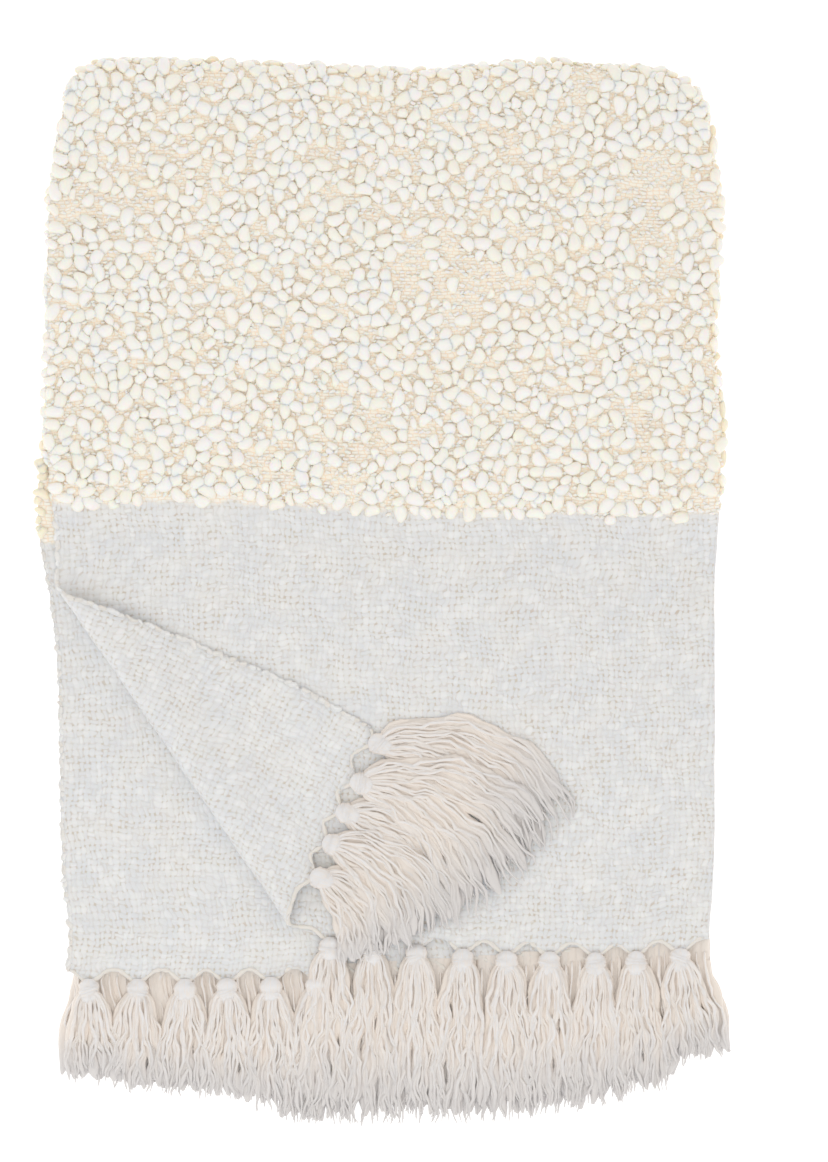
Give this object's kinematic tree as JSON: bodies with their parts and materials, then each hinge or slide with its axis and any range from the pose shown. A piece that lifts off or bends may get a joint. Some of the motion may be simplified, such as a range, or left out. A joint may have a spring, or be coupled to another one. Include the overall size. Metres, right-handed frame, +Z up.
{
  "type": "throw blanket",
  "caption": "Cream woven throw folded in four, with a nubby band, plain woven ends, knotted tassel fringe and one corner turned back",
  "frame": {"origin": "point on the underside that the folded throw lies on, near the middle of its outline with the fringe", "axes": "+Z up out of the pile, +Y from the fringe to the fold across the throw, +X to the fold along its side"},
  "size_m": [0.6535, 1.0158, 0.038],
  "materials": {
    "cloth": "thick woven cream yarn, nubby across the middle and plain at the ends",
    "fringe": "soft brushed off-white yarn"
  },
  "bodies": {
    "root": {"cloth": "cloth", "fringe_top": "fringe", "fringe_corner": "fringe", "fringe_second": "fringe", "fringe_third": "fringe", "fringe_under": "fringe"}
  },
  "joints": []
}
